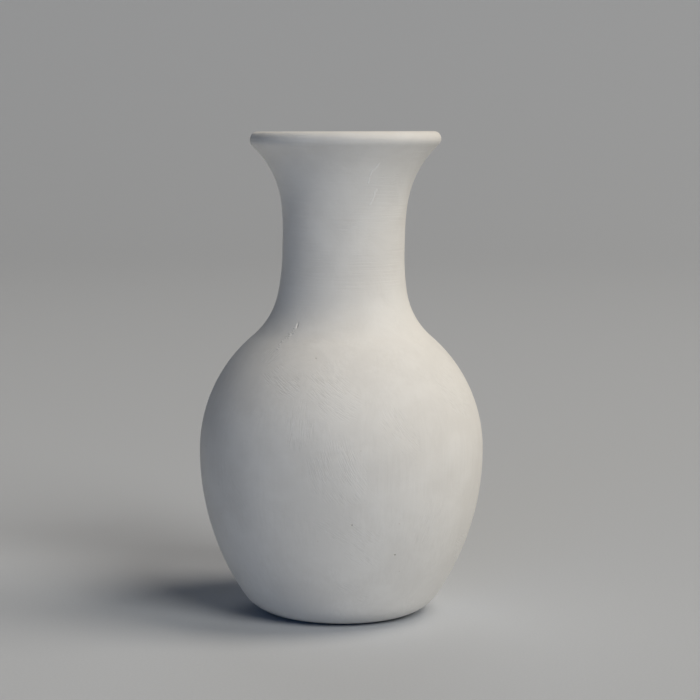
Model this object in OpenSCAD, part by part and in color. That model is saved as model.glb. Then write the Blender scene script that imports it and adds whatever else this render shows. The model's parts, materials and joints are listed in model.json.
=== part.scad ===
// Baluster vase with a flared mouth: a fired clay body, a matte coat brushed on outside and a glaze inside.
// Millimetres, +Z up. The origin is the middle of the foot, on the plane that the vase stands on.
//
// The outline is one chain of arcs turned about Z, each arc tangent to the next. It starts under the foot and
// runs up the belly, shoulder, neck and flare to the lip. Every layer follows the same chain at its own depth
// below the outer surface, so two layers that touch share the face between them.

/* [Mouth] */
// Height from the surface it stands on to the top of the lip
height = 150; // [149:0.5:152]
// Diameter across the lip's widest point
rim_d = 59.2; // [58:0.1:60.4]
// Radius of the hollow curve that opens the mouth
flare_curve_r = 30.4; // [29:0.1:31.4]

/* [Neck] */
// Outer diameter of the throat, the narrowest part of the neck
throat_d = 38; // [37.4:0.1:39]
// Height of the middle of the throat
throat_z = 115.7; // [115.2:0.1:116.6]
// Length of the straight stretch in the throat
throat_len = 6; // [4:0.5:6.5]
// Radius of the neck's hollow curve
neck_curve_r = 72; // [66:1:76]

/* [Belly] */
// Diameter across the belly
belly_d = 88.6; // [87.4:0.1:89.6]
// Height of the widest point
belly_z = 51.2; // [50.4:0.1:51.8]
// Radius of the hollow curve between belly and neck
shoulder_curve_r = 23.4; // [22:0.1:24.4]
// Radius of the belly above its widest point
upper_belly_r = 46.3; // [45.4:0.1:47.2]
// Radius of the belly below its widest point
lower_belly_r = 81.4; // [79:0.1:84]

/* [Foot] */
// Radius of the curve that turns the belly under to the foot
foot_curve_r = 14.2; // [12:0.1:16]
// Width of the flat ring that it stands on
foot_ring_w = 4.4; // [3:0.1:6]
// Height of the hollow inside the foot ring
recess_h = 1; // [0.5:0.1:1.5]
// Height of the bare clay below the matte coat
bare_foot_h = 0.4; // [0.3:0.05:0.8]

/* [Layers] */
// Thickness of the fired clay
wall_t = 4.2; // [3.6:0.1:5]
// Thickness of the matte coat outside
coat_t = 0.3; // [0.2:0.05:0.5]
// Thickness of the glaze inside
glaze_t = 0.3; // [0.2:0.05:0.5]

/* [Hidden] */

// Most that an arc turns between two points of the outline, in degrees
arc_step = 4;
// Segments round the vase
turn_segments = 120;

throat_r = throat_d / 2;
belly_r = belly_d / 2;
// The coated lip is a half round, as thick as the clay with the coat on both its faces
lip_r = wall_t / 2 + coat_t;
// Depth of the clay's inner face, which the glaze covers
inner_depth = coat_t + wall_t;

// The direction from one point to another, from 0 to 360 degrees
function heading(from, to) = (atan2(to.y - from.y, to.x - from.x) + 360) % 360;

// A point at an angle on a circle
function on_circle(centre, r, angle) = centre + r * [cos(angle), sin(angle)];

// Where two circles cross. Side 1 is left of the line from the first centre to the second, and -1 is right
function crossing(first, first_r, second, second_r, side) =
    let (
        gap = norm(second - first),
        along = (second - first) / gap,
        reach = (first_r * first_r - second_r * second_r + gap * gap) / (2 * gap),
        across = sqrt(first_r * first_r - reach * reach)
    )
    first + reach * along + side * across * [-along.y, along.x];

// Points on an arc between two angles, with both ends
function arc(centre, r, from, to) =
    let (steps = ceil(abs(to - from) / arc_step))
    [for (i = [0:steps]) on_circle(centre, r, from + (to - from) * i / steps)];

// A list without its last item, so that the next arc can start there
function but_last(list) = [for (i = [0:len(list) - 2]) list[i]];

function reversed(list) = [for (i = [len(list) - 1:-1:0]) list[i]];

// Centres of the arcs, each as a radius and a height
lower_belly_c = [belly_r - lower_belly_r, belly_z];
foot_c = let (
        reach = lower_belly_r - foot_curve_r,
        drop = belly_z - foot_curve_r
    )
    [lower_belly_c.x + sqrt(reach * reach - drop * drop), foot_curve_r];
upper_belly_c = [belly_r - upper_belly_r, belly_z];
low_neck_c = [throat_r + neck_curve_r, throat_z - throat_len / 2];
high_neck_c = [throat_r + neck_curve_r, throat_z + throat_len / 2];
shoulder_c = crossing(upper_belly_c, upper_belly_r + shoulder_curve_r,
    low_neck_c, neck_curve_r - shoulder_curve_r, 1);
lip_c = [rim_d / 2 - lip_r, height - lip_r];
flare_c = crossing(lip_c, lip_r + flare_curve_r, high_neck_c, neck_curve_r - flare_curve_r, -1);

// Angles where one arc hands over to the next
foot_end = heading(lower_belly_c, foot_c) - 360;
belly_end = heading(upper_belly_c, shoulder_c);
shoulder_end = heading(low_neck_c, shoulder_c);
neck_end = heading(high_neck_c, flare_c);
flare_end = heading(flare_c, lip_c);
// Where the matte coat stops under the foot's curve
coat_start = -asin((foot_curve_r - bare_foot_h) / foot_curve_r);

// The wall's outline at a depth below the outer surface, from an angle on the foot's curve up to the lip. A
// curve that bulges loses the depth from its radius, and a hollow one gains it.
function wall_line(depth, foot_from) = [
    each but_last(arc(foot_c, foot_curve_r - depth, foot_from, foot_end)),
    each but_last(arc(lower_belly_c, lower_belly_r - depth, foot_end, 0)),
    each but_last(arc(upper_belly_c, upper_belly_r - depth, 0, belly_end)),
    each but_last(arc(shoulder_c, shoulder_curve_r + depth, belly_end + 180, shoulder_end)),
    each arc(low_neck_c, neck_curve_r + depth, shoulder_end, 180),
    each but_last(arc(high_neck_c, neck_curve_r + depth, 180, neck_end)),
    each arc(flare_c, flare_curve_r + depth, neck_end, flare_end)
];

// The part of the outline that the coat follows: the wall from just above the foot, and over the lip
function coated_line(depth) = [
    each but_last(wall_line(depth, coat_start)),
    each arc(lip_c, lip_r - depth, flare_end - 180, flare_end)
];

module turned(outline) {
    rotate_extrude($fn = turn_segments) polygon(outline);
}

// One fired piece: foot ring, belly, neck, mouth and lip
module clay_body() {
    ring_inner_r = foot_c.x - foot_ring_w;
    // The hollow under the foot is a shallow dome
    recess_r = (ring_inner_r * ring_inner_r + recess_h * recess_h) / (2 * recess_h);
    recess_c = [0, recess_h - recess_r];
    color("lightgray") turned([
        each arc(recess_c, recess_r, 90, heading(recess_c, [ring_inner_r, 0])),
        each arc(foot_c, foot_curve_r, -90, coat_start),
        each coated_line(coat_t),
        each reversed(but_last(wall_line(inner_depth, -90))),
        [0, inner_depth]
    ]);
}

// The matte coat: from just above the foot, over the outside and round the lip
module matte_coat() {
    color("whitesmoke") turned([
        each coated_line(0),
        each reversed(coated_line(coat_t))
    ]);
}

// The glaze: from the coat's end inside the mouth, down the wall and over the floor
module liner_glaze() {
    color("ivory") turned([
        [0, inner_depth],
        each wall_line(inner_depth, -90),
        each reversed(wall_line(inner_depth + glaze_t, -90)),
        [0, inner_depth + glaze_t]
    ]);
}

clay_body();
matte_coat();
liner_glaze();
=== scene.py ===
"""Looks of the baluster vase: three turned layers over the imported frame, brushed, bare and glazed.

The outline is the CAD's chain of tangent arcs, turned about Z. Every place on the surface is named by an
azimuth, measured round the vase from the side that faces the camera (-Y) towards +X, and by a height.
"""

import json

import bpy
import numpy as np
from mathutils import Matrix, Vector


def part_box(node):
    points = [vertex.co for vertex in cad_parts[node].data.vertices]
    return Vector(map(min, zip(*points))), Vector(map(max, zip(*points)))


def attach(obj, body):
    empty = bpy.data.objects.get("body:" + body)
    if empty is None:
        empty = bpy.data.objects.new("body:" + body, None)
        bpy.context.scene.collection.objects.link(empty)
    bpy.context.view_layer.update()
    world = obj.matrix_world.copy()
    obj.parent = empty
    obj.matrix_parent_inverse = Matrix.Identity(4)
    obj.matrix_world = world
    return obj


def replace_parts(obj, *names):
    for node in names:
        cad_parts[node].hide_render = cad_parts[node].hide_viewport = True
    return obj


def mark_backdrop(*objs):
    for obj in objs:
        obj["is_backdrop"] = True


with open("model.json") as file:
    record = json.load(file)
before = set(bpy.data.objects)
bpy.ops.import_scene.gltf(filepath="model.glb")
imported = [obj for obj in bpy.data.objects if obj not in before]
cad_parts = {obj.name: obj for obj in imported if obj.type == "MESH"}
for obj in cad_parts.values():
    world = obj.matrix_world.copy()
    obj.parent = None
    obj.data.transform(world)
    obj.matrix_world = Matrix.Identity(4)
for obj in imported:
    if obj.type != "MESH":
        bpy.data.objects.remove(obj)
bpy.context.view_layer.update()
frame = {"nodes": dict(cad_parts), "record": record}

MM = 0.001
# Closer than this counts as touching
TOUCH = 0.01 * MM

# ---------------------------------------------------------------- sizes, from the frame


def corner_box(node):
    """A node's lowest and highest corners as arrays."""
    low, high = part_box(node)
    return np.array(low), np.array(high)


def node_points(node):
    """(radius, height) of every vertex of a CAD node."""
    points = np.array([v.co for v in frame["nodes"][node].data.vertices])
    return np.stack([np.hypot(points[:, 0], points[:, 1]), points[:, 2]], 1)


def mount(name):
    """One of the record's mounts, by its name."""
    return next(m for m in frame["record"]["mounts"] if m["name"] == name)


coat_low, coat_high = corner_box("matte_coat")
clay_low, clay_high = corner_box("clay_body")
glaze_low = corner_box("liner_glaze")[0]

HEIGHT = coat_high[2]
BELLY_R = coat_high[0]
COAT_T = coat_high[2] - clay_high[2]
# The glaze lies on the clay's inner floor, so its lowest point gives the depth of the clay's inner face
INNER_DEPTH = glaze_low[2]
GLAZE_T = 0.3 * MM
LIP_R = (INNER_DEPTH - COAT_T) / 2 + COAT_T
THROAT_R = mount("throat")["dims"]["r_mm"] * MM + GLAZE_T + INNER_DEPTH
THROAT_Z = mount("throat")["pos_m"][2]
THROAT_LEN = mount("throat")["dims"]["length_mm"] * MM

coat_points = node_points("matte_coat")
RIM_R = coat_points[coat_points[:, 1] > 0.9 * HEIGHT, 0].max()
clay_points = node_points("clay_body")
standing = clay_points[clay_points[:, 1] < clay_low[2] + TOUCH, 0]
FOOT_RING_IN, FOOT_RING_OUT = standing.min(), standing.max()
RECESS_H = clay_points[clay_points[:, 0] < TOUCH, 1].min()
BARE_FOOT_H = coat_low[2]

# Radii of the arcs of its outline, and the height of its widest ring, which are the CAD's
FLARE_CURVE_R = 30.4 * MM
NECK_CURVE_R = 72 * MM
SHOULDER_CURVE_R = 23.4 * MM
UPPER_BELLY_R = 46.3 * MM
LOWER_BELLY_R = 81.4 * MM
FOOT_CURVE_R = 14.2 * MM
BELLY_Z = 51.2 * MM

# ---------------------------------------------------------------- outline

# How far apart points lie on a line before it is resampled
SAMPLE = 0.05 * MM


def heading(start, end):
    """Direction from one point to another, from 0 to 360 degrees."""
    return np.degrees(np.arctan2(end[1] - start[1], end[0] - start[0])) % 360


def crossing(first, first_r, second, second_r, side):
    """Where two circles cross: on the left of the line between their centres if side is 1, right if -1."""
    gap = np.linalg.norm(second - first)
    along = (second - first) / gap
    reach = (first_r**2 - second_r**2 + gap**2) / (2 * gap)
    across = np.sqrt(first_r**2 - reach**2)
    return first + reach * along + side * across * np.array([-along[1], along[0]])


def arc(centre, r, start, end, bulge=1):
    """Closely spaced (radius, height, outward normal) rows on an arc. bulge is -1 on a hollow curve."""
    count = max(2, int(abs(np.radians(end - start)) * r / SAMPLE))
    angle = np.radians(np.linspace(start, end, count + 1))
    way = np.stack([np.cos(angle), np.sin(angle)], 1)
    return np.hstack([centre + r * way, bulge * way])


lower_belly_c = np.array([BELLY_R - LOWER_BELLY_R, BELLY_Z])
foot_c = np.array([FOOT_RING_OUT, FOOT_CURVE_R])
upper_belly_c = np.array([BELLY_R - UPPER_BELLY_R, BELLY_Z])
low_neck_c = np.array([THROAT_R + NECK_CURVE_R, THROAT_Z - THROAT_LEN / 2])
high_neck_c = low_neck_c + [0, THROAT_LEN]
shoulder_c = crossing(
    upper_belly_c, UPPER_BELLY_R + SHOULDER_CURVE_R, low_neck_c, NECK_CURVE_R - SHOULDER_CURVE_R, 1
)
lip_c = np.array([RIM_R - LIP_R, HEIGHT - LIP_R])
flare_c = crossing(lip_c, LIP_R + FLARE_CURVE_R, high_neck_c, NECK_CURVE_R - FLARE_CURVE_R, -1)

FOOT_END = heading(lower_belly_c, foot_c) - 360
BELLY_END = heading(upper_belly_c, shoulder_c)
SHOULDER_END = heading(low_neck_c, shoulder_c)
NECK_END = heading(high_neck_c, flare_c)
FLARE_END = heading(flare_c, lip_c)
COAT_START = -np.degrees(np.arcsin((FOOT_CURVE_R - BARE_FOOT_H) / FOOT_CURVE_R))


def wall_line(depth, foot_from):
    """The wall's outline at a depth below its outside, from an angle on the foot's curve to the lip."""
    return np.concatenate(
        [
            arc(foot_c, FOOT_CURVE_R - depth, foot_from, FOOT_END),
            arc(lower_belly_c, LOWER_BELLY_R - depth, FOOT_END, 0),
            arc(upper_belly_c, UPPER_BELLY_R - depth, 0, BELLY_END),
            arc(shoulder_c, SHOULDER_CURVE_R + depth, BELLY_END + 180, SHOULDER_END, -1),
            arc(low_neck_c, NECK_CURVE_R + depth, SHOULDER_END, 180, -1),
            arc(high_neck_c, NECK_CURVE_R + depth, 180, NECK_END, -1),
            arc(flare_c, FLARE_CURVE_R + depth, NECK_END, FLARE_END, -1),
        ]
    )


def coated_line(depth):
    """The part of the outline that the coat follows: from just above the foot, and over the lip."""
    lip = arc(lip_c, LIP_R - depth, FLARE_END - 180, FLARE_END)
    return np.concatenate([wall_line(depth, COAT_START), lip])


def flipped(line):
    """A line walked the other way, with its normals turned round: the far face of a layer."""
    return line[::-1] * [1, 1, -1, -1]


def lengths(line):
    """Distance along a line to each of its points."""
    return np.concatenate([[0], np.cumsum(np.linalg.norm(np.diff(line[:, :2], axis=0), axis=1))])


def resampled(line, spacing, fine=()):
    """The line's points about a spacing apart, and closer near each (height, spacing, reach) in fine."""
    along = lengths(line)
    dense = np.arange(0, along[-1], SAMPLE)
    height = np.interp(dense, along, line[:, 1])
    rate = np.full(len(dense), 1 / spacing)
    for centre, close, reach in fine:
        rate += (1 / close - 1 / spacing) * np.exp(-(((height - centre) / reach) ** 2))
    share = np.concatenate([[0], np.cumsum(rate[1:] * SAMPLE)])
    wanted = np.linspace(0, share[-1], max(2, int(share[-1])) + 1)
    at = np.interp(wanted, share, dense)
    at[-1] = along[-1]
    return np.stack([np.interp(at, along, line[:, k]) for k in range(4)], 1)


# ---------------------------------------------------------------- relief

# The neck leans a little to the right, and the lip rises a little there, as the potter's hand left them.
# The pot isn't quite round either. Each wave is how many swellings go round it, its phase and its twist
# from foot to lip in radians, and its share
LEAN = 0.8 * MM
LEAN_FROM = 0.55 * HEIGHT
RIM_RISE = 0.25 * MM
WOBBLE = 0.10 * MM
WOBBLE_WAVES = (
    (2, 0.8, 0, 1.0),
    (3, 0, 5, 0.6),
)

# Faint throwing rings, which are plainest on the neck and wander a little as they go round
RING_DEPTH = 0.010 * MM
RING_PITCH = 11.938 * MM
RING_WANDER = 1.5
NECK_FROM = 0.62 * HEIGHT
NECK_FADE = 0.10 * HEIGHT
BELLY_SHARE = 0.3

# The nick in the shoulder. Each row is one cut or ridge: how far round and up from the nick's middle, turn
# in degrees, half length, half width, and how far it stands out
NICK_AZIMUTH = -35.0
NICK_Z = 0.610 * HEIGHT
NICK_SHAPE = (
    # the cut, the ridge that it pushed up, and a chip below
    (0.0, 0.0, 97, 0.75 * MM, 0.26 * MM, -0.27 * MM),
    (-1.3, -0.4 * MM, 92, 0.50 * MM, 0.26 * MM, 0.05 * MM),
    (-1.2, -2.7 * MM, 50, 0.35 * MM, 0.25 * MM, -0.12 * MM),
)

# On its left the lip's bead stands out less and runs into the flare. Each row is a band round it: how far
# its middle is below the top, its reach up and down, and how far it stands out. The fade is from none to
# all, as cosines of the angle from the left side's middle
LIP_LEFT = -100.0
LIP_FADE = (0.1, 0.9)
LIP_SHAPE = (
    (1.9 * MM, 1.3 * MM, -0.20 * MM),
    (5.2 * MM, 1.6 * MM, 0.16 * MM),
)

# Patches of brush strokes: azimuth and turn in degrees, height as a share of the vase's, half the patch's
# length and width, how much its strokes curl in degrees along its length, and how strong they are
STROKE_PATCHES = (
    # azimuth, height, turn, half length, half width, curl, strength
    (-30, 0.512, -26, 10.0 * MM, 5.5 * MM, 0, 1.5),
    (-4, 0.485, -36, 12.0 * MM, 8.0 * MM, 10, 1.0),
    (-17, 0.425, 87, 9.0 * MM, 5.5 * MM, 0, 1.4),
    (-2, 0.335, -64, 14.0 * MM, 11.0 * MM, 22, 1.0),
    (5, 0.205, -38, 16.0 * MM, 8.0 * MM, -12, 1.0),
    (6, 0.085, -30, 7.0 * MM, 4.0 * MM, 0, 1.0),
    (-41, 0.546, 62, 3.6 * MM, 5.5 * MM, 0, 2.6),
    (34, 0.900, 10, 8.0 * MM, 3.0 * MM, 0, 1.0),
    (12, 0.800, 4, 8.0 * MM, 4.0 * MM, 0, 0.7),
    (24, 0.410, -55, 11.0 * MM, 7.0 * MM, 15, 1.0),
    (38, 0.230, 70, 11.0 * MM, 6.0 * MM, 0, 1.0),
    (-50, 0.280, -60, 13.0 * MM, 8.0 * MM, 20, 1.0),
    (60, 0.470, -40, 14.0 * MM, 8.0 * MM, 15, 1.0),
    (88, 0.310, 80, 14.0 * MM, 9.0 * MM, -20, 1.0),
    (72, 0.150, -25, 11.0 * MM, 6.0 * MM, 0, 1.0),
    (112, 0.480, 35, 12.0 * MM, 8.0 * MM, 10, 1.0),
    (134, 0.270, -50, 16.0 * MM, 9.0 * MM, 25, 1.0),
    (162, 0.430, -78, 13.0 * MM, 9.0 * MM, 0, 1.0),
    (-168, 0.210, 40, 14.0 * MM, 8.0 * MM, -15, 1.0),
    (-142, 0.410, -35, 14.0 * MM, 8.0 * MM, 20, 1.0),
    (-116, 0.250, 75, 13.0 * MM, 8.0 * MM, 0, 1.0),
    (-92, 0.460, -50, 14.0 * MM, 8.0 * MM, -15, 1.0),
    (-80, 0.160, -30, 11.0 * MM, 6.0 * MM, 10, 1.0),
)
# A patch's strokes fade in over this share of it, and only where it is this many times as strong as the
# next one
PATCH_FADE = 0.45
PATCH_LEAD = 1.5
# Each patch takes its streaks from another stretch of the noise
PATCH_STEP = 0.1


def eased(x):
    """Smooth step from 0 to 1."""
    x = np.clip(x, 0, 1)
    return x * x * (3 - 2 * x)


def on_side(azimuth, middle, none, full):
    """1 near an azimuth and 0 far from it, eased between two cosines of the angle between them."""
    return eased((np.cos(np.radians(azimuth - middle)) - none) / (full - none))


def hand_made(points):
    """Moves points of any layer as the pot's own shape departs from a true turned form."""
    up = points[:, 2] / HEIGHT
    azimuth = np.arctan2(points[:, 0], -points[:, 1])
    radius = np.hypot(points[:, 0], points[:, 1])
    lean = eased((points[:, 2] - LEAN_FROM) / (HEIGHT - LEAN_FROM))
    swell = 0
    for count, phase, twist, share in WOBBLE_WAVES:
        swell = swell + share * np.sin(count * azimuth + phase + twist * up)
    grow = 1 + WOBBLE * swell * np.sin(np.pi * np.clip(up, 0, 1)) / np.maximum(radius, 10 * MM)
    moved = points * np.stack([grow, grow, np.ones_like(grow)], 1)
    moved[:, 0] += LEAN * lean
    moved[:, 2] += RIM_RISE * lean**3 * points[:, 0] / RIM_R
    return moved


def seen_from(azimuth, height, radius, centre, middle_z, turn):
    """Distances along and across a line on the surface that passes a place and is turned up from level."""
    level = np.radians((azimuth - centre + 180) % 360 - 180) * radius
    rise = height - middle_z
    turn = np.radians(turn)
    return level * np.cos(turn) + rise * np.sin(turn), rise * np.cos(turn) - level * np.sin(turn)


def gouge(azimuth, height, radius, centre, middle_z, turn, half_len, half_wid):
    """1 on a short straight line on the surface, fading to 0 past its ends and sides."""
    along, across = seen_from(azimuth, height, radius, centre, middle_z, turn)
    return np.exp(-((along / half_len) ** 4) - (across / half_wid) ** 2)


def relief(azimuth, height, radius):
    """How far the coat's outer face stands above or below its outline."""
    ring = np.sin(2 * np.pi * height / RING_PITCH + RING_WANDER * np.sin(np.radians(azimuth)))
    on_neck = eased((height - NECK_FROM) / NECK_FADE)
    total = RING_DEPTH * ring * (BELLY_SHARE + (1 - BELLY_SHARE) * on_neck)
    for aside, above, turn, half_len, half_wid, depth in NICK_SHAPE:
        place = NICK_AZIMUTH + aside, NICK_Z + above
        total = total + depth * gouge(azimuth, height, radius, *place, turn, half_len, half_wid)
    on_left = on_side(azimuth, LIP_LEFT, *LIP_FADE)
    for drop, reach, depth in LIP_SHAPE:
        total = total + depth * on_left * np.exp(-(((height - HEIGHT + drop) / reach) ** 2))
    return total


def stroke_field(azimuth, height, radius):
    """For each point of the coat: distances along and across its brush strokes, and their strength there.

    The distances carry on past a patch's rim, where the strength is 0, so that no streak is cut short.
    """
    best = np.full(azimuth.shape, -np.inf)
    second = np.full(azimuth.shape, -np.inf)
    weights = np.ones(azimuth.shape)
    field = np.zeros(azimuth.shape + (3,))
    for k, (centre, up, turn, half_len, half_wid, curl, weight) in enumerate(STROKE_PATCHES):
        along, across = seen_from(azimuth, height, radius, centre, up * HEIGHT, turn)
        across = across - np.radians(curl) * along**2 / (2 * half_len)
        strength = 1 - np.sqrt((along / half_len) ** 2 + (across / half_wid) ** 2)
        wins = strength > best
        second = np.where(wins, best, np.maximum(second, strength))
        best = np.where(wins, strength, best)
        weights = np.where(wins, weight, weights)
        field[wins] = np.stack([along + PATCH_STEP * k, across, strength], -1)[wins]
    field[..., 2] = weights * eased((best - PATCH_LEAD * np.maximum(second, 0)) / PATCH_FADE)
    return field


# ---------------------------------------------------------------- turning

SEGMENTS = 300
SHARP_EDGE = 40
# The segments are closer together at the front, as far round as this, and closest at the nick: angles in
# degrees, and how many more segments there are for each one at the back
FRONT_TO = 85
FRONT_FADE = 20
FRONT_MORE = 1.1
NICK_REACH = 3
NICK_MORE = 9


def azimuths():
    """Directions of the segments in degrees."""
    dense = np.linspace(-180, 180, 7201)
    in_front = eased((FRONT_TO - np.abs(dense)) / FRONT_FADE)
    at_nick = np.exp(-(((dense - NICK_AZIMUTH) / NICK_REACH) ** 2))
    rate = 1 + FRONT_MORE * in_front + NICK_MORE * at_nick
    share = np.concatenate([[0], np.cumsum((rate[1:] + rate[:-1]) / 2)])
    return np.interp(np.arange(SEGMENTS) / SEGMENTS * share[-1], share, dense)


def ring_faces(rings, count, closed=False):
    """Faces between neighbouring rings of vertices, and from the last ring to the first if closed."""
    step = np.arange(count)
    after = (step + 1) % count
    faces = []
    for i in range(rings if closed else rings - 1):
        low = i * count
        high = (i + 1) % rings * count
        faces += np.stack([low + step, low + after, high + after, high + step], 1).tolist()
    return faces


def fan_faces(tip, first, count):
    """Triangles from a vertex to each side of the ring that starts at another."""
    return [(tip, first + k, first + (k + 1) % count) for k in range(count)]


def reversed_faces(faces):
    """The same faces, seen from the other side."""
    return [face[::-1] for face in faces]


def new_object(name, points, faces, material):
    """A smooth mesh object in the scene."""
    mesh = bpy.data.meshes.new(name)
    mesh.from_pydata(points.tolist(), [], faces)
    mesh.materials.append(material)
    mesh.shade_smooth()
    made = bpy.data.objects.new(name, mesh)
    bpy.context.scene.collection.objects.link(made)
    return made


def turned(name, profile, material, raised=0):
    """A piece made by turning a profile of (radius, height, normal) rows about Z.

    A profile starts and ends on the axis, or else closes on itself. Its first `raised` rows take the
    relief.
    """
    angle = azimuths()[None]
    r, z, nr, nz = (profile[:, k][:, None] for k in range(4))
    lift = np.zeros((len(profile), SEGMENTS))
    lift[:raised] = relief(angle, z[:raised], r[:raised])
    out = r + lift * nr
    turn = np.radians(angle)
    grid = np.stack([out * np.sin(turn), -out * np.cos(turn), z + lift * nz], -1)
    capped = profile[0, 0] < TOUCH
    if capped:
        grid = grid[1:-1]
    points = grid.reshape(-1, 3)
    faces = ring_faces(len(grid), SEGMENTS, closed=not capped)
    if capped:
        low_tip, high_tip = len(points), len(points) + 1
        faces += reversed_faces(fan_faces(low_tip, 0, SEGMENTS))
        faces += fan_faces(high_tip, len(points) - SEGMENTS, SEGMENTS)
        points = np.concatenate([points, [[0, 0, profile[0, 1]], [0, 0, profile[-1, 1]]]])
    piece = new_object(name, hand_made(points), faces, material)
    piece.data.set_sharp_from_angle(angle=np.radians(SHARP_EDGE))
    return piece


def mark_strokes(piece, profile, raised):
    """Writes the brush strokes' field to a turned piece's vertices, with none past the raised rows."""
    angle = azimuths()[None]
    r, z = (profile[:, k][:, None] + 0 * angle for k in range(2))
    strokes = stroke_field(angle + 0 * z, z, r)
    strokes[raised:, :, 2] = 0
    field = piece.data.attributes.new("stroke", "FLOAT_VECTOR", "POINT")
    field.data.foreach_set("vector", strokes.ravel())


# ---------------------------------------------------------------- materials


class Look:
    """A material's node tree, with short ways to add and link its nodes."""

    def __init__(self, name):
        self.material = bpy.data.materials.new(name)
        self.material.use_nodes = True
        self.tree = self.material.node_tree
        self.tree.nodes.clear()
        self.shader = self.add("ShaderNodeBsdfPrincipled")
        output = self.add("ShaderNodeOutputMaterial")
        self.join(self.shader.outputs[0], output.inputs["Surface"])
        self.place = self.add("ShaderNodeTexCoord").outputs["Object"]

    def add(self, kind, **settings):
        """A new node, with some of its settings changed."""
        node = self.tree.nodes.new(kind)
        for key, value in settings.items():
            setattr(node, key, value)
        return node

    def join(self, out, into):
        """Links an output to an input."""
        self.tree.links.new(out, into)

    def put(self, value, socket):
        """Links a socket's output, or sets a plain value."""
        if isinstance(value, bpy.types.NodeSocket):
            self.join(value, socket)
        else:
            socket.default_value = value

    def maths(self, operation, *values):
        """What a maths node makes of its values."""
        node = self.add("ShaderNodeMath", operation=operation)
        for value, socket in zip(values, node.inputs):
            self.put(value, socket)
        return node.outputs[0]

    def times(self, *values):
        """The product of two or more values."""
        product = values[0]
        for value in values[1:]:
            product = self.maths("MULTIPLY", product, value)
        return product

    def vector(self, operation, *values):
        """What a vector maths node makes of its vectors."""
        node = self.add("ShaderNodeVectorMath", operation=operation)
        for value, socket in zip(values, node.inputs):
            self.put(value, socket)
        return node.outputs["Vector" if operation == "SUBTRACT" else "Value"]

    def parts(self, vector):
        """A vector's x, y and z."""
        node = self.add("ShaderNodeSeparateXYZ")
        self.put(vector, node.inputs[0])
        return tuple(node.outputs)

    def join_parts(self, x, y, z):
        """A vector from its x, y and z."""
        node = self.add("ShaderNodeCombineXYZ")
        for value, socket in zip((x, y, z), node.inputs):
            self.put(value, socket)
        return node.outputs[0]

    def noise(self, vector, scale, detail=2.0, rough=0.5, warp=0.0):
        """Soft noise, from about 0.3 to 0.7."""
        node = self.add("ShaderNodeTexNoise")
        self.put(vector, node.inputs["Vector"])
        node.inputs["Scale"].default_value = scale
        node.inputs["Detail"].default_value = detail
        node.inputs["Roughness"].default_value = rough
        node.inputs["Distortion"].default_value = warp
        return node.outputs[0]

    def ranged(self, value, low, high, to_low=0.0, to_high=1.0, smooth=True):
        """A value moved from one range to another and held within it."""
        node = self.add("ShaderNodeMapRange", interpolation_type="SMOOTHSTEP" if smooth else "LINEAR")
        self.put(value, node.inputs[0])
        for number, socket in zip((low, high, to_low, to_high), list(node.inputs)[1:5]):
            self.put(number, socket)
        return node.outputs[0]

    def spread(self, noise, least=0.0, most=1.0):
        """Noise stretched over a whole range."""
        return self.ranged(noise, 0.3, 0.7, least, most)

    def patchy(self, size, low, high, least, detail=2.0):
        """1 in patches of a size, and a smaller share between them."""
        return self.ranged(self.noise(self.place, 1 / size, detail), low, high, least, 1.0)

    def cells(self, wide, tall):
        """The place, counted in cells of a width and a height."""
        x, y, z = self.parts(self.place)
        return self.join_parts(self.times(x, 1 / wide), self.times(y, 1 / wide), self.times(z, 1 / tall))

    def dots(self, spacing, core, rim, rare, common):
        """1 on small round dots about a spacing apart, where a cell's random number is high enough."""
        cell = self.add("ShaderNodeTexVoronoi")
        self.join(self.place, cell.inputs["Vector"])
        cell.inputs["Scale"].default_value = 1 / spacing
        dot = self.ranged(cell.outputs["Distance"], core, rim, 1.0, 0.0)
        chosen = self.ranged(self.parts(cell.outputs["Color"])[0], rare, common)
        return self.times(dot, chosen)

    def mixed(self, share, first, second):
        """A colour between two, all of the second where the share is 1."""
        node = self.add("ShaderNodeMix", data_type="RGBA")
        self.put(share, node.inputs[0])
        self.put(first, node.inputs[6])
        self.put(second, node.inputs[7])
        return node.outputs[2]

    def bump(self, height, depth, under):
        """A surface normal with one more relief over those under it."""
        node = self.add("ShaderNodeBump")
        node.inputs["Strength"].default_value = 1.0
        node.inputs["Distance"].default_value = depth
        self.put(height, node.inputs["Height"])
        if under:
            self.join(under, node.inputs["Normal"])
        return node.outputs[0]

    def dress(self, tone, layers, rough, reliefs):
        """Finishes the shader: a tone under (share, tint) layers, roughness, (height, depth) reliefs."""
        for share, tint in layers:
            tone = self.mixed(share, tone, tint)
        normal = None
        for height, depth in reliefs:
            normal = self.bump(height, depth, normal)
        self.join(tone, self.shader.inputs["Base Color"])
        self.join(rough, self.shader.inputs["Roughness"])
        self.join(normal, self.shader.inputs["Normal"])


def colour(r, g, b):
    """An opaque colour, from linear red, green and blue."""
    return (r, g, b, 1.0)


def surface_point(azimuth, height):
    """A place on the coat's outer face, from its azimuth in degrees and its height."""
    line = coated_line(0)
    radius = np.interp(height, line[:, 1], line[:, 0])
    turn = np.radians(azimuth)
    return tuple(hand_made(np.array([[radius * np.sin(turn), -radius * np.cos(turn), height]]))[0])


# A brush stroke's streaks, as long and as wide as this
STREAK_LEN = 3.2 * MM
STREAK_WID = 0.36 * MM

# Crumbs of slip in a line down and to the left of the nick: the line's start and reach from the nick in
# degrees and in height, and how far the crumbs stray from it
FLECKS = 22
FLECK_START = (1.2, 1.4 * MM)
FLECK_REACH = (4.6, 4.6 * MM)
FLECK_STRAY = (1.0, 0.5 * MM)
FLECK_R = (0.22 * MM, 0.44 * MM)
FLECK_RAGGED = 0.12 * MM

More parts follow.
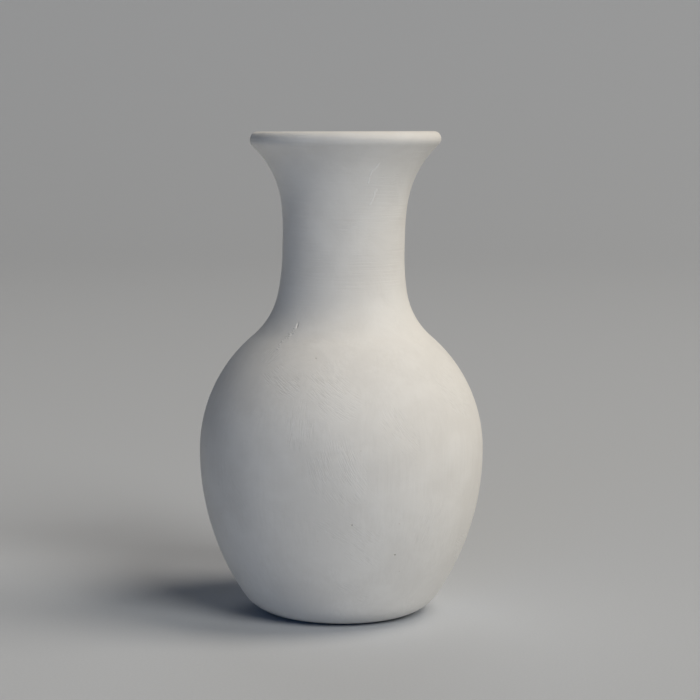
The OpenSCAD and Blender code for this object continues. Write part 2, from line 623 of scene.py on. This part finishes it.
# Painted shade in the nick's bottom: how far round and up from the nick's middle its low and high ends are,
# its width over its length, and how far it stays dark and where it ends, across it
NICK_ENDS = ((0.2, -0.3 * MM), (0.0, 0.3 * MM))
NICK_SLIM = 0.33
NICK_DARK = 0.12 * MM
NICK_EDGE = 0.32 * MM

# Pits in the coat, dented and darkened with painted shade: azimuth in degrees, height as a share of the
# vase's, and radius
PITS = (
    (4.3, 0.232, 0.30 * MM),
    (23.7, 0.165, 0.30 * MM),
    (-14, 0.552, 0.26 * MM),
    (-70, 0.360, 0.35 * MM),
    (105, 0.210, 0.40 * MM),
    (-150, 0.480, 0.35 * MM),
)

# The scuff below the lip: rubbed wear, with a painted sheen
SCUFF_AZIMUTH = 26
SCUFF_Z = 0.893 * HEIGHT
SCUFF_STROKES = (
    # how far each stroke's high and low ends are above and to the right of the scuff's middle, and its bow
    (7.2 * MM, 0.3 * MM, 0.0 * MM, -2.4 * MM, 1.1 * MM),
    (-1.0 * MM, 0.4 * MM, -6.4 * MM, -1.5 * MM, -0.3 * MM),
)
SCUFF_HALF_WID = 0.50 * MM
SCUFF_WAVER = 0.25 * MM
# It stays on the near side of the neck, no deeper than this behind its middle
SCUFF_DEPTH = 9 * MM


def stroke_marks(look):
    """Fine parallel streaks left by the brush, from -1 to 1 and only within the coat's stroke patches."""
    stroke = look.add("ShaderNodeAttribute", attribute_name="stroke").outputs["Vector"]
    along, across, strength = look.parts(stroke)
    lane = look.join_parts(look.times(along, 1 / STREAK_LEN), look.times(across, 1 / STREAK_WID), 0.0)
    streaks = look.spread(look.noise(lane, 1.0, 2.0, 0.55, 0.25), -1.0)
    return look.times(streaks, look.patchy(4 * MM, 0.33, 0.60, 0.15), strength)


def brush_drag(look):
    """Faint upright streaks all over, where the brush was drawn up and down the belly, from 0 to 1."""
    drag = look.spread(look.noise(look.cells(1.1 * MM, 16 * MM), 1.0, 3.0, 0.6, 0.3))
    height = look.parts(look.place)[2]
    where = look.ranged(height, 0.58 * HEIGHT, 0.68 * HEIGHT, 1.0, 0.25)
    return look.times(drag, where, look.patchy(9 * MM, 0.35, 0.62, 0.2))


def turning_lines(look):
    """Fine level lines round the neck, where it was turned, from 0 to 1, fading out on the belly."""
    lines = look.spread(look.noise(look.cells(16 * MM, 0.85 * MM), 1.0, 3.0, 0.6))
    height = look.parts(look.place)[2]
    where = look.ranged(height, 0.62 * HEIGHT, 0.70 * HEIGHT, 0.12, 1.0)
    return look.times(lines, where, look.patchy(11 * MM, 0.40, 0.60, 0.25, detail=1.0))


def painted_nick_shade(look):
    """Painted shade: 1 along the bottom of the nick in the shoulder and 0 outside."""
    ends = [surface_point(NICK_AZIMUTH + aside, NICK_Z + above) for aside, above in NICK_ENDS]
    low, high = np.array(ends)
    way = tuple((high - low) / np.linalg.norm(high - low))
    offset = look.vector("SUBTRACT", look.place, tuple((low + high) / 2))
    along = look.vector("DOT_PRODUCT", offset, way)
    # A ball drawn out along the nick: the part of the distance that lies along it counts for less
    spared = look.times(along, along, 1 - NICK_SLIM**2)
    square = look.maths("SUBTRACT", look.vector("DOT_PRODUCT", offset, offset), spared)
    return look.ranged(square, NICK_DARK**2, NICK_EDGE**2, 1.0, 0.0)


def fleck_marks(look):
    """1 on each crumb of slip that was dragged out of the nick, down and to the left, and 0 outside."""
    rng = np.random.default_rng(5)
    ragged = look.spread(look.noise(look.place, 1 / (0.35 * MM), 1.0), -FLECK_RAGGED, FLECK_RAGGED)
    total = 0.0
    for way in np.linspace(0, 1, FLECKS):
        left, down = (start + reach * way for start, reach in zip(FLECK_START, FLECK_REACH))
        azimuth = NICK_AZIMUTH - left + rng.normal(0, FLECK_STRAY[0])
        height = NICK_Z - down - rng.normal(0, FLECK_STRAY[1])
        radius = rng.uniform(*FLECK_R)
        away = look.vector("DISTANCE", look.place, surface_point(azimuth, height))
        fleck = look.ranged(look.maths("ADD", away, ragged), 0.1 * radius, radius, 1.0, 0.0)
        total = look.maths("MAXIMUM", total, fleck)
    return total


def pit_dents_and_shade(look):
    """1 in each pit and 0 outside; it both dents the coat and darkens it as painted shade."""
    total = 0.0
    for azimuth, up, radius in PITS:
        away = look.vector("DISTANCE", look.place, surface_point(azimuth, up * HEIGHT))
        total = look.maths("ADD", total, look.ranged(away, 0.4 * radius, radius, 1.0, 0.0))
    return total


def scuff_stroke(look, rise, level, stroke):
    """1 on one bowed stroke of the scuff and 0 outside it, from places given by their rise and level."""
    high, high_level, low, low_level, bow = stroke
    share = look.ranged(rise, low, high, smooth=False)
    line = look.ranged(share, 0.0, 1.0, low_level, high_level, smooth=False)
    bowed = look.times(share, look.maths("SUBTRACT", 1.0, share), 4 * bow)
    stray = look.spread(look.noise(look.place, 1 / (2.0 * MM), 2.0), -SCUFF_WAVER, SCUFF_WAVER)
    aside = look.maths("SUBTRACT", look.maths("ADD", level, bowed), look.maths("ADD", line, stray))
    near = look.ranged(look.maths("ABSOLUTE", aside), 0.1 * SCUFF_HALF_WID, SCUFF_HALF_WID, 1.0, 0.0)
    middle = (high + low) / 2
    half = (high - low) / 2
    from_middle = look.maths("ABSOLUTE", look.maths("SUBTRACT", rise, middle))
    return look.times(near, look.ranged(from_middle, 0.8 * half, half, 1.0, 0.0))


def scuff_mark(look):
    """Two thin pale strokes below the lip, up to 1 on them and 0 outside, fainter here and there; their
    paleness is a painted sheen over rubbed wear.
    """
    turn = np.radians(SCUFF_AZIMUTH)
    offset = look.vector("SUBTRACT", look.place, surface_point(SCUFF_AZIMUTH, SCUFF_Z))
    level = look.vector("DOT_PRODUCT", offset, (np.cos(turn), np.sin(turn), 0.0))
    depth = look.vector("DOT_PRODUCT", offset, (np.sin(turn), -np.cos(turn), 0.0))
    rise = look.parts(offset)[2]
    mark = 0.0
    for stroke in SCUFF_STROKES:
        mark = look.maths("MAXIMUM", mark, scuff_stroke(look, rise, level, stroke))
    front = look.ranged(depth, -SCUFF_DEPTH, 2 * MM - SCUFF_DEPTH)
    return look.times(mark, front, look.patchy(1.4 * MM, 0.33, 0.50, 0.25))


# Tones of the slip: between and on its clouds, where the brush dragged it and where it was turned, a
# painted highlight on the ridges of its streaks and painted shade in their grooves, and its marks: painted
# shade in its pits, its nick and at its foot, and a painted sheen on its rubbed scuff
SLIP_DULL = colour(0.795, 0.782, 0.755)
SLIP_PALE = colour(0.845, 0.835, 0.81)
SLIP_DRAGGED = colour(0.70, 0.685, 0.655)
SLIP_TURNED = colour(0.72, 0.705, 0.675)
SLIP_RIDGE_HIGHLIGHT = colour(0.87, 0.865, 0.85)
SLIP_GROOVE_SHADE = colour(0.70, 0.69, 0.665)
SLIP_RUBBED_SHEEN = colour(0.92, 0.92, 0.91)
SLIP_CRUMB = colour(0.92, 0.915, 0.90)
SLIP_DUST = colour(0.52, 0.47, 0.40)
SLIP_PIT_SHADE = colour(0.42, 0.38, 0.33)
SLIP_NICK_SHADE = colour(0.22, 0.21, 0.20)

CLAY_DARK = colour(0.60, 0.52, 0.43)
CLAY_PALE = colour(0.70, 0.63, 0.54)
CLAY_GRIT = colour(0.27, 0.20, 0.15)
CLAY_WORN = colour(0.78, 0.74, 0.68)

GLAZE_DEEP = colour(0.74, 0.715, 0.65)
GLAZE_THIN = colour(0.82, 0.805, 0.76)
GLAZE_PINHOLE = colour(0.40, 0.33, 0.26)

PAPER_DULL = colour(0.56, 0.59, 0.635)
PAPER_PALE = colour(0.58, 0.61, 0.655)


def bare_edge_and_contact_shade(look, cloud):
    """How much clay shows through at the coat's lower edge, where it thins out, and 0 above; partly bare
    clay, partly a painted contact shadow at the foot.
    """
    height = look.maths("ADD", look.parts(look.place)[2], look.spread(cloud, -0.3 * MM, 0.3 * MM))
    return look.ranged(height, 0.4 * MM, 1.1 * MM, 0.7, 0.0)


def matte_coat_look():
    """Off-white matte slip: faintly mottled, streaked by the brush, turned on the neck, with a few pits;
    painted light and shade on its marks.
    """
    look = Look("matte_coat")
    streaks = stroke_marks(look)
    lines = turning_lines(look)
    drag = brush_drag(look)
    pits = pit_dents_and_shade(look)
    scuff = scuff_mark(look)
    flecks = fleck_marks(look)
    dust = look.dots(6 * MM, 0.02, 0.055, 0.80, 0.90)
    grain = look.noise(look.place, 1 / (0.30 * MM), 3.0, 0.65)
    cloud = look.noise(look.place, 1 / (17 * MM), 4.0, 0.55, 0.4)
    rough = look.maths("SUBTRACT", look.ranged(grain, 0.2, 0.8, 0.80, 0.94), look.times(scuff, 0.15))
    look.dress(
        look.mixed(look.ranged(cloud, 0.34, 0.66), SLIP_DULL, SLIP_PALE),
        (
            (look.times(drag, 0.22), SLIP_DRAGGED),
            (look.times(lines, 0.15), SLIP_TURNED),
            # painted highlight on the streaks' ridges and painted shade in their grooves
            (look.ranged(streaks, 0.1, 1.0, 0.0, 0.4), SLIP_RIDGE_HIGHLIGHT),
            (look.ranged(streaks, -1.0, -0.1, 0.35, 0.0), SLIP_GROOVE_SHADE),
            # rubbed wear, made paler as a painted sheen
            (look.times(scuff, 0.75), SLIP_RUBBED_SHEEN),
            (look.times(flecks, 0.7), SLIP_CRUMB),
            (look.times(dust, 0.35), SLIP_DUST),
            # painted shade in the pits
            (look.times(pits, 0.45), SLIP_PIT_SHADE),
            # painted shade in the bottom of the nick
            (look.times(painted_nick_shade(look), 0.9), SLIP_NICK_SHADE),
            # clay at the coat's thinning edge, and a painted contact shadow at the foot
            (bare_edge_and_contact_shade(look, cloud), CLAY_DARK),
        ),
        rough,
        (
            (cloud, 0.25 * MM),
            (lines, 0.035 * MM),
            (drag, 0.016 * MM),
            (streaks, 0.018 * MM),
            (grain, 0.018 * MM),
            (look.times(pits, -1.0), 0.25 * MM),
            (scuff, 0.06 * MM),
            (flecks, 0.14 * MM),
        ),
    )
    look.shader.inputs["Specular IOR Level"].default_value = 0.3
    look.shader.inputs["Sheen Weight"].default_value = 0.05
    return look.material


def fired_clay_look():
    """Bare buff clay: sandy, speckled with darker grit, and dusted paler where it rubs on a shelf."""
    look = Look("fired_clay")
    grain = look.noise(look.place, 1 / (0.28 * MM), 4.0, 0.65)
    mottle = look.noise(look.place, 1 / (6 * MM), 3.0, 0.6)
    grit = look.dots(1.3 * MM, 0.12, 0.24, 0.5, 0.6)
    worn = look.ranged(look.parts(look.place)[2], 0.05 * MM, 0.35 * MM, 0.4, 0.0)
    look.dress(
        look.mixed(look.spread(mottle), CLAY_DARK, CLAY_PALE),
        ((look.times(grit, 0.7), CLAY_GRIT), (worn, CLAY_WORN)),
        look.ranged(grain, 0.2, 0.8, 0.85, 0.97),
        ((mottle, 0.2 * MM), (grain, 0.05 * MM)),
    )
    return look.material


def liner_glaze_look():
    """Satin cream glaze: clouded where it flowed, with small pinholes."""
    look = Look("liner_glaze")
    flow = look.noise(look.place, 1 / (14 * MM), 3.0, 0.5, 0.6)
    ripple = look.noise(look.place, 1 / (3 * MM), 2.0, 0.5)
    pinholes = look.dots(5 * MM, 0.04, 0.07, 0.6, 0.65)
    look.dress(
        look.mixed(look.spread(flow), GLAZE_DEEP, GLAZE_THIN),
        ((look.times(pinholes, 0.6), GLAZE_PINHOLE),),
        look.spread(ripple, 0.20, 0.32),
        ((flow, 0.25 * MM), (ripple, 0.03 * MM), (look.times(pinholes, -1.0), 0.1 * MM)),
    )
    return look.material


def studio_paper_look():
    """Plain pale paper with a fine fibre."""
    look = Look("studio_paper")
    fibre = look.noise(look.place, 1 / (0.8 * MM), 3.0, 0.6)
    look.join(look.mixed(look.spread(fibre), PAPER_DULL, PAPER_PALE), look.shader.inputs["Base Color"])
    look.shader.inputs["Roughness"].default_value = 0.9
    look.shader.inputs["Specular IOR Level"].default_value = 0.2
    return look.material


# ---------------------------------------------------------------- pieces

# How far apart the rings of vertices lie on faces that show, on faces that another layer covers, on the
# bare edge above the foot, and near the nick: there as height, spacing and reach
SHOWN_SPACING = 0.75 * MM
HIDDEN_SPACING = 3 * MM
EDGE_SPACING = 0.2 * MM
NEAR_NICK = ((NICK_Z, 0.3 * MM, 2.0 * MM),)


def coat_piece():
    """The brushed slip, from just above the foot up the outside and over the lip."""
    outer = resampled(coated_line(0), SHOWN_SPACING, NEAR_NICK)
    inner = resampled(flipped(coated_line(COAT_T)), HIDDEN_SPACING)
    profile = np.concatenate([outer, inner])
    piece = turned("brushed_coat", profile, matte_coat_look(), raised=len(outer))
    mark_strokes(piece, profile, raised=len(outer))
    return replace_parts(piece, "matte_coat")


def clay_piece():
    """The clay, bare at the foot, with a shallow dome hollowed out of its underside."""
    recess_r = (FOOT_RING_IN**2 + RECESS_H**2) / (2 * RECESS_H)
    recess_c = np.array([0, RECESS_H - recess_r])
    # The dome is seen from below, so its outside is the side towards its centre
    dome = arc(recess_c, recess_r, 90, heading(recess_c, [FOOT_RING_IN, 0]), -1)
    dome[0, 0] = 0
    bare = arc(foot_c, FOOT_CURVE_R, -90, COAT_START)
    profile = [
        resampled(dome, SHOWN_SPACING),
        resampled(bare, EDGE_SPACING),
        resampled(coated_line(COAT_T), HIDDEN_SPACING),
        resampled(flipped(wall_line(INNER_DEPTH, -90)), HIDDEN_SPACING)[1:],
        np.array([[0, INNER_DEPTH, 0, 1.0]]),
    ]
    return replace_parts(turned("bare_clay", np.concatenate(profile), fired_clay_look()), "clay_body")


def glaze_piece():
    """The glaze, over the whole inside up to the lip."""
    top = INNER_DEPTH + GLAZE_T
    profile = [
        np.array([[0, INNER_DEPTH, 0, -1.0]]),
        resampled(wall_line(INNER_DEPTH, -90), HIDDEN_SPACING),
        resampled(flipped(wall_line(top, -90)), SHOWN_SPACING),
        np.array([[0, top, 0, 1.0]]),
    ]
    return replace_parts(turned("inner_glaze", np.concatenate(profile), liner_glaze_look()), "liner_glaze")


for piece, slot in (
    (coat_piece(), "matte_coat"),
    (clay_piece(), "fired_clay"),
    (glaze_piece(), "liner_glaze"),
):
    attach(piece, "root")

# ---------------------------------------------------------------- floor, light and camera

# The floor is level as far as FLOOR_R, then curves up through RAMP_TURN degrees and goes straight on
FLOOR_R = 1.8
COVE_R = 3.0
RAMP_TURN = 34
RAMP_END = 7.0
FIRST_RING_R = 0.1
FLOOR_SEGMENTS = 120
# It rises in full behind and beside the vase, centred on this azimuth, and not at all in front: the fade is
# from none to all, as cosines of the angle from that azimuth
RAMP_AZIMUTH = 190
RAMP_FADE = (-0.45, 0.05)

# Soft round lamps: azimuth and elevation in degrees, watts and tint. The key and the side lamp are warm
# daylight from the right, the cool one is the sky, and the one behind lifts the far side
LAMP_DISTANCE = 6.0
LAMP_SIZE = 3.0
LAMPS = {
    "key": (35, 35, 164, (1.0, 0.96, 0.88)),
    "side": (85, 60, 152, (1.0, 0.905, 0.775)),
    "cool": (-15, 14, 24, (0.06, 0.38, 1.0)),
    "back": (180, 45, 24, (0.93, 0.96, 1.0)),
}

# The camera is in front of the vase at lip height, and is tipped down to take in the foot
CAMERA_DISTANCE = 0.65
CAMERA_LENS_MM = 107.77
CAMERA_SENSOR_MM = 36
CAMERA_TIP = 5.96
CAMERA_SWING = -0.225
CAMERA_ROLL = 0.3


def studio_floor():
    """A pale paper floor, level in front of the vase and sweeping up behind and beside it."""
    turn = np.radians(np.linspace(0, RAMP_TURN, 13))[1:]
    level = np.linspace(FIRST_RING_R, FLOOR_R, 9)
    cove_r = FLOOR_R + COVE_R * np.sin(turn)
    cove_z = COVE_R * (1 - np.cos(turn))
    ramp_z = cove_z[-1] + (RAMP_END - cove_r[-1]) * np.tan(turn[-1])
    radius = np.concatenate([level, cove_r, [RAMP_END]])
    rise = np.concatenate([0 * level, cove_z, [ramp_z]])
    azimuth = np.linspace(0, 360, FLOOR_SEGMENTS, endpoint=False)
    around = np.radians(azimuth)
    height = rise[:, None] * on_side(azimuth, RAMP_AZIMUTH, *RAMP_FADE)
    out = radius[:, None]
    grid = np.stack([out * np.sin(around), -out * np.cos(around), height], -1)
    points = np.concatenate([grid.reshape(-1, 3), [[0, 0, 0]]])
    faces = fan_faces(len(points) - 1, 0, FLOOR_SEGMENTS)
    faces += reversed_faces(ring_faces(len(radius), FLOOR_SEGMENTS))
    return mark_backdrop(new_object("studio_floor", points, faces, studio_paper_look()))


def softbox(name, azimuth, elevation, power, tint):
    """A round area light that faces the vase's middle from an azimuth and elevation round it."""
    light = bpy.data.lights.new(name, "AREA")
    light.shape = "DISK"
    light.size = LAMP_SIZE
    light.energy = power
    light.color = tint
    lamp = bpy.data.objects.new(name, light)
    a, e = np.radians(azimuth), np.radians(elevation)
    way = Vector((np.cos(e) * np.sin(a), -np.cos(e) * np.cos(a), np.sin(e)))
    lamp.location = Vector((0, 0, HEIGHT / 2)) + way * LAMP_DISTANCE
    lamp.rotation_euler = way.to_track_quat("Z", "Y").to_euler()
    bpy.context.scene.collection.objects.link(lamp)


def photo_camera():
    """The photo's view."""
    camera = bpy.data.cameras.new("camera")
    camera.sensor_width = CAMERA_SENSOR_MM
    camera.lens = CAMERA_LENS_MM
    camera.clip_start = 0.01
    view = bpy.data.objects.new("camera", camera)
    tip = Matrix.Rotation(np.radians(90 - CAMERA_TIP), 4, "X")
    swing = Matrix.Rotation(np.radians(CAMERA_SWING), 4, "Z")
    roll = Matrix.Rotation(np.radians(CAMERA_ROLL), 4, "Z")
    view.matrix_world = Matrix.Translation((0, -CAMERA_DISTANCE, HEIGHT)) @ swing @ tip @ roll
    bpy.context.scene.collection.objects.link(view)
    bpy.context.scene.camera = view


studio_floor()
for lamp_name, settings in LAMPS.items():
    softbox(lamp_name, *settings)
photo_camera()

# All the light comes from the lamps
world = bpy.data.worlds.new("studio")
world.use_nodes = True
world.node_tree.nodes["Background"].inputs["Strength"].default_value = 0.0
bpy.context.scene.world = world
bpy.context.scene.view_settings.view_transform = "Standard"
